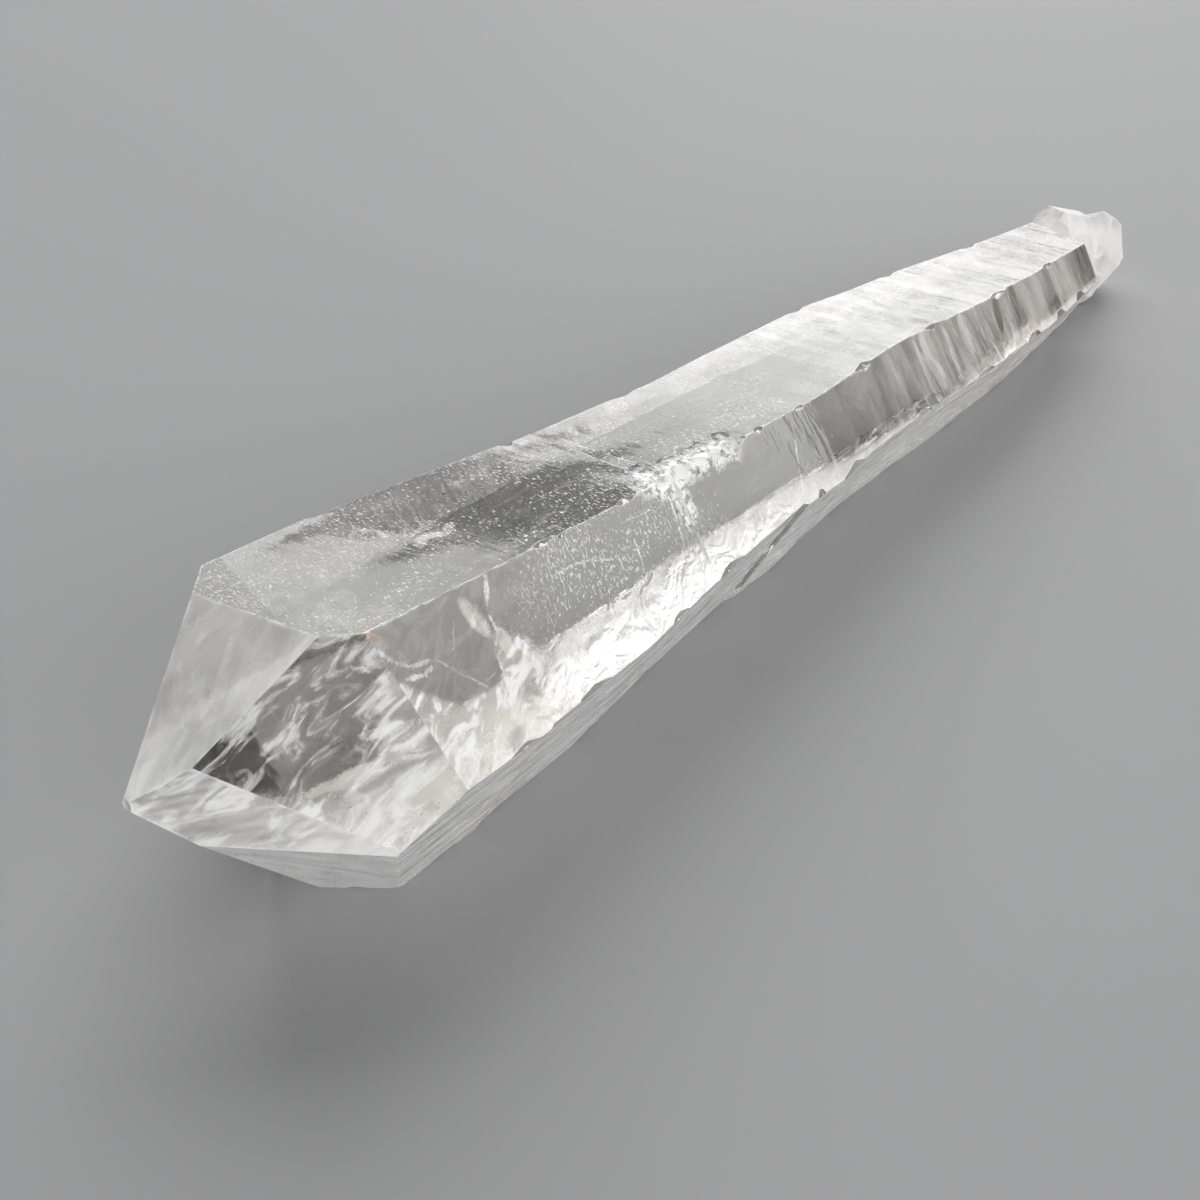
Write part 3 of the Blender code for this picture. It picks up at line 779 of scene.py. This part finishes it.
class Nodes:
    """Short calls that add nodes to a material and join them."""

    def __init__(self, material):
        self.tree = material.node_tree

    def add(self, kind, **settings):
        node = self.tree.nodes.new(kind)
        for name, value in settings.items():
            setattr(node, name, value)
        return node

    def set(self, socket, value):
        if isinstance(value, bpy.types.NodeSocket):
            self.tree.links.new(value, socket)
        else:
            socket.default_value = value

    def fill(self, node, values):
        """Set several of a node's inputs by name."""
        for name, value in values.items():
            self.set(node.inputs[name], value)

    def attribute(self, name, output="Fac"):
        return self.add("ShaderNodeAttribute", attribute_name=name).outputs[output]

    def math(self, operation, first, *others):
        """One operation over two or more values, from left to right."""
        for other in others:
            node = self.add("ShaderNodeMath", operation=operation)
            self.set(node.inputs[0], first)
            self.set(node.inputs[1], other)
            first = node.outputs[0]
        return first

    def plus(self, *values):
        return self.math("ADD", *values)

    def minus(self, *values):
        return self.math("SUBTRACT", *values)

    def times(self, *values):
        return self.math("MULTIPLY", *values)

    def most(self, *values):
        return self.math("MAXIMUM", *values)

    def least(self, *values):
        return self.math("MINIMUM", *values)

    def scaled(self, vector, scale, turn=0.0):
        """A vector turned in its own plane and then stretched."""
        if turn:
            node = self.add("ShaderNodeMapping")
            self.fill(node, {"Vector": vector, "Rotation": (0, 0, math.radians(turn))})
            vector = node.outputs[0]
        node = self.add("ShaderNodeMapping")
        self.fill(node, {"Vector": vector, "Scale": scale})
        return node.outputs[0]

    def ridge(self, value, width):
        """1 where a noise crosses its middle, falling to 0 at a width on both sides."""
        away = self.most(self.minus(value, 0.5), self.minus(0.5, value))
        return self.range(away, 0.0, width, 1.0, 0.0)

    def blend(self, share, one, two):
        """A colour between two colours."""
        node = self.add("ShaderNodeMix", data_type="RGBA")
        self.set(node.inputs[0], share)
        self.set(node.inputs[6], one)
        self.set(node.inputs[7], two)
        return node.outputs[2]

    def mark(self, place, face, width, points):
        """1 along a run of points on a face, falling to 0 at its sides."""
        shown = None
        for (x1, v1), (x2, v2) in zip(points, points[1:]):
            node = self.add("ShaderNodeMapping", vector_type="TEXTURE")
            self.fill(node, {
                "Vector": place,
                "Location": ((x1 + x2) / 2, (v1 + v2) / 2, FACE_NUMBER[face] * FACE_STEP),
                "Rotation": (0, 0, math.atan2(v2 - v1, x2 - x1)),
                "Scale": (math.hypot(x2 - x1, v2 - v1) * 0.56 + 0.3 * width, width * 0.6, 1.0)})
            away = self.add("ShaderNodeVectorMath", operation="LENGTH")
            self.set(away.inputs[0], node.outputs[0])
            part = self.range(away.outputs["Value"], 0.65, 1.1, 1.0, 0.0)
            shown = part if shown is None else self.most(shown, part)
        return shown

    def noise(self, vector, scale=1.0, detail=2.0, roughness=0.5, distortion=0.0):
        node = self.add("ShaderNodeTexNoise")
        self.fill(node, {"Vector": vector, "Scale": scale, "Detail": detail, "Roughness": roughness,
                         "Distortion": distortion})
        return node.outputs["Fac"]

    def range(self, value, low, high, to_low=0.0, to_high=1.0):
        node = self.add("ShaderNodeMapRange", interpolation_type="SMOOTHSTEP")
        for socket, item in zip(node.inputs, (value, low, high, to_low, to_high)):
            self.set(socket, item)
        return node.outputs[0]

    def bump(self, height, strength, distance, normal=None):
        node = self.add("ShaderNodeBump")
        self.fill(node, {"Height": height, "Strength": strength, "Distance": distance})
        if normal is not None:
            self.set(node.inputs["Normal"], normal)
        return node.outputs[0]


def new_look(name):
    """A new material, its shader and its short calls."""
    material = bpy.data.materials.new(name)
    material.use_nodes = True
    return material, material.node_tree.nodes["Principled BSDF"], Nodes(material)


def fine_strokes(nodes, place):
    """Fine strokes in two sizes, gathered in crowds."""
    dash = nodes.noise(nodes.scaled(place, (8.0, 2.6, 1.0)), 1.0, 1.0, 0.4)
    fleck = nodes.noise(nodes.scaled(place, (5.0, 9.0, 1.0), -20), 1.0, 1.0, 0.5)
    crowd = nodes.noise(nodes.scaled(place, (0.12, 0.22, 1.0)), 1.0, 2.0, 0.6)
    sparse = nodes.plus(nodes.range(crowd, 0.35, 0.62, 0.67, 0.575), nodes.attribute("thin"))
    long_marks = nodes.range(dash, sparse, nodes.plus(sparse, 0.06))
    small_marks = nodes.range(fleck, nodes.plus(sparse, 0.04), nodes.plus(sparse, 0.09))
    return nodes.times(nodes.most(long_marks, nodes.times(small_marks, 0.8)), nodes.attribute("strokes"))


def single_marks(nodes, place):
    """The single cracks, flakes and spots of each kind, with uneven outlines."""
    shift = nodes.add("ShaderNodeTexNoise")
    nodes.fill(shift, {"Vector": nodes.scaled(place, (1.7, 1.7, 1.0)), "Detail": 2.0, "Roughness": 0.65})
    sway = nodes.add("ShaderNodeMapping")
    nodes.fill(sway, {"Vector": shift.outputs["Color"], "Location": (-0.30, -0.30, 0.0), "Scale": (0.6, 0.6, 0.0)})
    moved = nodes.add("ShaderNodeVectorMath", operation="ADD")
    nodes.set(moved.inputs[0], place)
    nodes.set(moved.inputs[1], sway.outputs[0])
    shown = dict.fromkeys(("white", "tan", "dark", "brown"), 0.0)
    for (face, kind), marks in SURFACE_MARKS.items():
        for width, strength, points in marks:
            mark = nodes.times(nodes.mark(moved.outputs[0], face, width, points), strength)
            shown[kind] = nodes.most(shown[kind], mark)
    return shown


def quartz_look():
    """Clear quartz, with growth marks, flecks and milky patches at their real size, and painted highlights and shade.
    """
    material, shader, nodes = new_look("clear_quartz_look")
    place = nodes.attribute("growth_place", "Vector")
    streaks = nodes.attribute("streaks")
    marks = fine_strokes(nodes, place)
    single = single_marks(nodes, place)

    # Milkiness in soft clouds, with long streaks, wisps, curved veins and cross bands on the faces that have them.
    # Where the milk stands in for the bright band and the glints, it is a painted highlight.
    cloud = nodes.noise(nodes.scaled(place, (0.26, 0.42, 1.0)), 1.0, 3.0, 0.6, 0.6)
    long_lines = nodes.noise(nodes.scaled(place, (0.11, 2.6, 1.0)), 1.0, 2.0, 0.6)
    lined = nodes.times(nodes.range(long_lines, 0.38, 0.64, -0.45, 0.80), streaks)
    haze_and_painted_light = nodes.times(nodes.attribute("milk_and_painted_light"), nodes.range(cloud, 0.32, 0.68, 0.72, 1.18), nodes.plus(1.0, lined))
    wisp_cloud = nodes.noise(nodes.scaled(place, (0.38, 0.85, 1.0), 28), 1.0, 4.0, 0.58, 1.1)
    wisp = nodes.times(nodes.range(wisp_cloud, 0.44, 0.66, -0.16, 0.50), nodes.attribute("wisps"))
    vein_field = nodes.noise(nodes.scaled(place, (0.42, 0.50, 1.0)), 1.0, 2.0, 0.5, 1.4)
    vein = nodes.times(nodes.ridge(vein_field, 0.014), nodes.attribute("veins"))
    band_field = nodes.noise(nodes.scaled(place, (0.42, 0.07, 1.0), 6), 1.0, 3.0, 0.6)
    band = nodes.times(nodes.range(band_field, 0.36, 0.66, -0.08, 0.34), nodes.attribute("bands"))

    # Worn edges, also a painted highlight, the chipped stretch of the ridge, and the single marks.
    patchy = nodes.noise(place, 0.9, 3.0, 0.65)
    worn_edge_highlight = nodes.times(nodes.range(nodes.attribute("near_edge_wear_highlight"), 0.55, 1.0), nodes.range(patchy, 0.38, 0.62, 0.0, 1.2),
                       nodes.attribute("worn_edge_highlight"))
    rubble = nodes.noise(nodes.scaled(place, (1.6, 1.8, 1.0)), 1.0, 2.0, 0.65)
    battered = nodes.times(nodes.attribute("battered"), nodes.range(rubble, 0.38, 0.56))
    broken_up = nodes.range(patchy, 0.34, 0.58, 0.45, 1.0)
    flaws = nodes.most(nodes.times(nodes.most(single["white"], single["tan"]), broken_up), single["brown"])
    solid = nodes.minus(nodes.plus(haze_and_painted_light, flaws), single["dark"])
    solid = nodes.plus(solid, nodes.times(marks, 0.75), wisp, nodes.times(vein, 0.5), band, worn_edge_highlight, battered)
    nodes.set(shader.inputs["Transmission Weight"], nodes.minus(1.0, nodes.least(nodes.most(solid, 0.0), 1.0)))

    # Frost, fine bumps and colour.
    rough = nodes.times(nodes.attribute("frost"), nodes.range(patchy, 0.3, 0.7, 0.6, 1.4))
    nodes.set(shader.inputs["Roughness"], nodes.plus(rough, nodes.times(marks, 0.35)))
    wave = nodes.noise(nodes.scaled(place, (1.1, 0.30, 1.0), 8), 1.0, 2.0, 0.55)
    lines = nodes.bump(long_lines, nodes.times(streaks, 0.5), LINE_HEIGHT)
    ripples = nodes.bump(wave, nodes.attribute("ripple"), RIPPLE_HEIGHT, lines)
    ragged = nodes.bump(vein_field, nodes.times(nodes.attribute("veins"), 0.28), VEIN_HEIGHT, ripples)
    nodes.set(shader.inputs["Normal"], ragged)
    tint = nodes.times(nodes.attribute("warm"), nodes.range(cloud, 0.3, 0.7, 0.4, 1.2))
    tint = nodes.least(nodes.plus(tint, single["tan"]), 1.0)
    # Painted shade: darker colour between the wisps on the milky faces near the large point.
    darker = nodes.times(nodes.range(wisp_cloud, 0.62, 0.42), nodes.attribute("shade"))
    colour = nodes.blend(tint, CLEAR_COLOUR, WARM_COLOUR)
    colour = nodes.blend(darker, colour, SHADE_COLOUR)
    colour = nodes.blend(single["dark"], colour, DARK_COLOUR)
    nodes.fill(shader, {"Base Color": nodes.blend(single["brown"], colour, BROWN_COLOUR), "IOR": QUARTZ_IOR})
    absorption = nodes.add("ShaderNodeVolumeAbsorption")
    nodes.fill(absorption, {"Color": PASSED_COLOUR, "Density": ABSORPTION})
    nodes.set(material.node_tree.nodes["Material Output"].inputs["Volume"], absorption.outputs[0])
    return material


def crack_look():
    """An air-filled crack in quartz: silvery, with ripples and gaps where its walls touch."""
    material, shader, nodes = new_look("crack_look")
    place = nodes.attribute("sheet_place", "Vector")
    plumes = nodes.noise(nodes.scaled(place, (3.0, 9.0, 1.0), 25), 1.0, 4.0, 0.65, 0.8)
    cover = nodes.range(plumes, 0.34, 0.52, 0.20, 1.0)
    rim = nodes.range(nodes.attribute("edge"), 0.88, 1.0, 1.0, 0.0)
    nodes.fill(shader, {"Alpha": nodes.times(cover, nodes.attribute("solid"), rim), "Base Color": CRACK_COLOUR,
                        "Metallic": 0.30, "Roughness": nodes.range(plumes, 0.3, 0.7, 0.5, 0.25),
                        "Normal": nodes.bump(plumes, 0.5, PLUME_HEIGHT)})
    return material


def veil_look():
    """A milky veil: clouds of bubbles too small to see."""
    material, shader, nodes = new_look("veil_look")
    place = nodes.attribute("sheet_place", "Vector")
    cloud = nodes.noise(place, 0.55, 6.0, 0.62, 0.9)
    fine = nodes.noise(place, 3.2, 3.0, 0.6)
    cover = nodes.times(nodes.range(cloud, 0.44, 0.68), nodes.range(fine, 0.25, 0.7, 0.5, 1.0))
    rim = nodes.range(nodes.attribute("edge"), 0.45, 1.0, 1.0, 0.0)
    nodes.fill(shader, {"Alpha": nodes.times(cover, nodes.attribute("solid"), rim), "Base Color": VEIL_COLOUR,
                        "Roughness": 0.8, "Specular IOR Level": 0.0})
    return material


def hairline_look():
    """The bright line of a closed crack seen on its edge."""
    material, shader, nodes = new_look("hairline_look")
    breaks = nodes.noise(nodes.attribute("sheet_place", "Vector"), 1.6, 3.0, 0.6)
    nodes.fill(shader, {"Alpha": nodes.range(breaks, 0.35, 0.6, 0.25, 0.9), "Base Color": HAIRLINE_COLOUR,
                        "Roughness": 0.5})
    return material


def speck_look():
    """Brown iron stain, darker in spots."""
    material, shader, nodes = new_look("speck_look")
    spots = nodes.noise(nodes.add("ShaderNodeTexCoord").outputs["Object"], 9000.0, 3.0, 0.6)
    ramp = nodes.add("ShaderNodeValToRGB")
    nodes.set(ramp.inputs[0], spots)
    for element, position, colour in zip(ramp.color_ramp.elements, (0.35, 0.65), SPECK_COLOURS):
        element.position = position
        element.color = colour
    nodes.fill(shader, {"Base Color": ramp.outputs[0], "Roughness": 0.7})
    return material


def add_camera():
    """The camera of the photograph."""
    data = bpy.data.cameras.new("camera")
    data.sensor_width = SENSOR_WIDTH
    data.lens = SENSOR_WIDTH * FOCAL_PIXELS / IMAGE_PIXELS
    data.clip_start = 0.005
    camera = bpy.data.objects.new("camera", data)
    pitch = math.radians(CAMERA_PITCH)
    heading = math.radians(CAMERA_HEADING)
    forward = Vector((math.cos(pitch) * math.cos(heading), math.cos(pitch) * math.sin(heading), -math.sin(pitch)))
    camera.location = CAMERA_PLACE
    camera.rotation_euler = forward.to_track_quat("-Z", "Y").to_euler()
    bpy.context.scene.collection.objects.link(camera)
    bpy.context.scene.camera = camera


def add_light(name, heading, elevation, size_x, size_y, radiance):
    """A rectangular soft light, from its direction over the floor and how bright its face looks."""
    heading = math.radians(heading)
    elevation = math.radians(elevation)
    toward = Vector((math.cos(elevation) * math.cos(heading), math.cos(elevation) * math.sin(heading),
                     math.sin(elevation)))
    data = bpy.data.lights.new(name, "AREA")
    data.shape = "RECTANGLE"
    data.size = size_x
    data.size_y = size_y
    data.energy = radiance * math.pi * size_x * size_y
    light = bpy.data.objects.new(name, data)
    light.location = toward * LIGHT_DISTANCE
    light.rotation_euler = (-toward).to_track_quat("-Z", "Y").to_euler()
    bpy.context.scene.collection.objects.link(light)


def add_floor():
    """The plain floor, which is stage and no part of the crystal."""
    bpy.ops.mesh.primitive_plane_add(size=FLOOR_SIZE, location=(0, 0, -FLOOR_GAP))
    floor = bpy.context.object
    floor.name = "floor"
    material, shader, nodes = new_look("floor_look")
    nodes.fill(shader, {"Base Color": FLOOR_COLOUR, "Roughness": 0.6})
    floor.data.materials.append(material)


def add_world():
    """Dim, even light from all sides."""
    world = bpy.data.worlds.new("studio")
    world.use_nodes = True
    background = world.node_tree.nodes["Background"]
    background.inputs["Color"].default_value = SKY_COLOUR
    background.inputs["Strength"].default_value = SKY_STRENGTH
    bpy.context.scene.world = world


def set_view():
    """Show light as it is, without a film curve, so that the bright bands stay bright beside the clear glass."""
    view = bpy.context.scene.view_settings
    view.view_transform = "Standard"
    view.look = "None"


def allow_inner_bounces():
    """Let light turn often enough inside the crystal for its darkest reflections to reach the studio."""
    cycles = bpy.context.scene.cycles
    cycles.max_bounces = 12
    cycles.glossy_bounces = 10
    cycles.transmission_bounces = 12
    cycles.transparent_max_bounces = 10


crystal = build_crystal()
add_finish(crystal.data)
crystal.data.materials.clear()
crystal.data.materials.append(quartz_look())
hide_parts(CRYSTAL_NODE)
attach(crystal, "root")
inside = surface_tree(crystal.data)
add_cracks(inside)
add_veils(inside)
add_hairlines(inside)
add_speck()
add_floor()
add_world()
for light in LIGHTS:
    add_light(*light)
add_camera()
allow_inner_bounces()
set_view()
